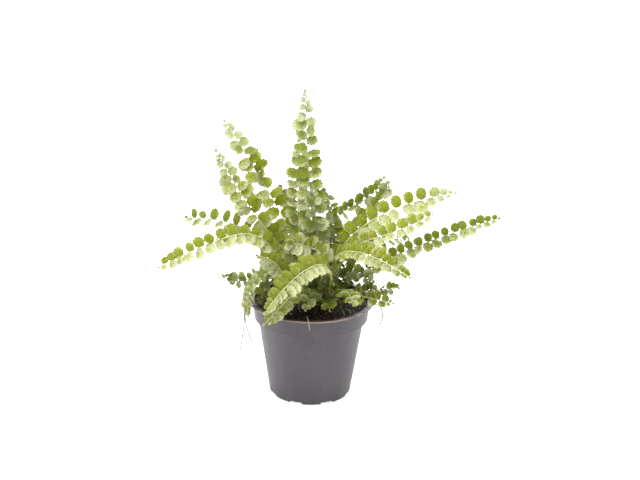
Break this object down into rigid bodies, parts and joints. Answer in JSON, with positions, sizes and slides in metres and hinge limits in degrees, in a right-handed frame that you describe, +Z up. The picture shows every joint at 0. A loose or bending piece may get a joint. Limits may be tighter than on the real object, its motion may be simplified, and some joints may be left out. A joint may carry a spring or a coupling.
{
  "type": "potted fern",
  "caption": "Bushy button fern with arching fronds of small round leaflets, growing in soil in a round stepped nursery pot that stands on a flat surface.",
  "frame": {"origin": "the middle of the pot's underside, on the surface that the pot stands on", "axes": "+Z up along the pot's axis, +X to the right and -Y to the front as the picture shows the plant"},
  "size_m": [0.3154, 0.19, 0.2901],
  "materials": {
    "pot_plastic": "satin",
    "soil": "matte",
    "frond_young": "satin",
    "frond_mature": "satin",
    "frond_old": "satin",
    "runner": "matte"
  },
  "bodies": {
    "root": {"pot": "pot_plastic", "soil": "soil", "frond_tall_front": "frond_mature", "frond_tall_back": "frond_mature", "frond_left_upper": "frond_young", "frond_left_middle": "frond_young", "frond_left_level": "frond_mature", "frond_left_long": "frond_young", "frond_left_short": "frond_young", "frond_left_low": "frond_old", "frond_left_droop": "frond_old", "frond_front_left": "frond_young", "frond_front_left_low": "frond_young", "frond_front_centre": "frond_old", "frond_front_right_low": "frond_mature", "frond_crossing": "frond_young", "frond_centre_left": "frond_young", "frond_centre_dark": "frond_old", "frond_centre_slim": "frond_mature", "frond_right_inner": "frond_mature", "frond_right_upper": "frond_mature", "frond_right_level": "frond_young", "frond_right_middle": "frond_young", "frond_right_long": "frond_mature", "frond_right_front": "frond_young", "frond_right_low": "frond_mature", "frond_right_short": "frond_old", "frond_right_droop": "frond_young", "frond_left_inner": "frond_mature", "frond_front_inner": "frond_mature", "frond_inner_left": "frond_mature", "frond_back_left": "frond_mature", "frond_back_left_inner": "frond_old", "frond_back_middle": "frond_mature", "frond_back_right_inner": "frond_old", "frond_back_right": "frond_mature", "runner_right": "runner", "runner_left_long": "runner", "runner_left_short": "runner", "runner_front": "runner", "root_front_inner": "runner", "root_front_outer": "runner"}
  },
  "joints": []
}
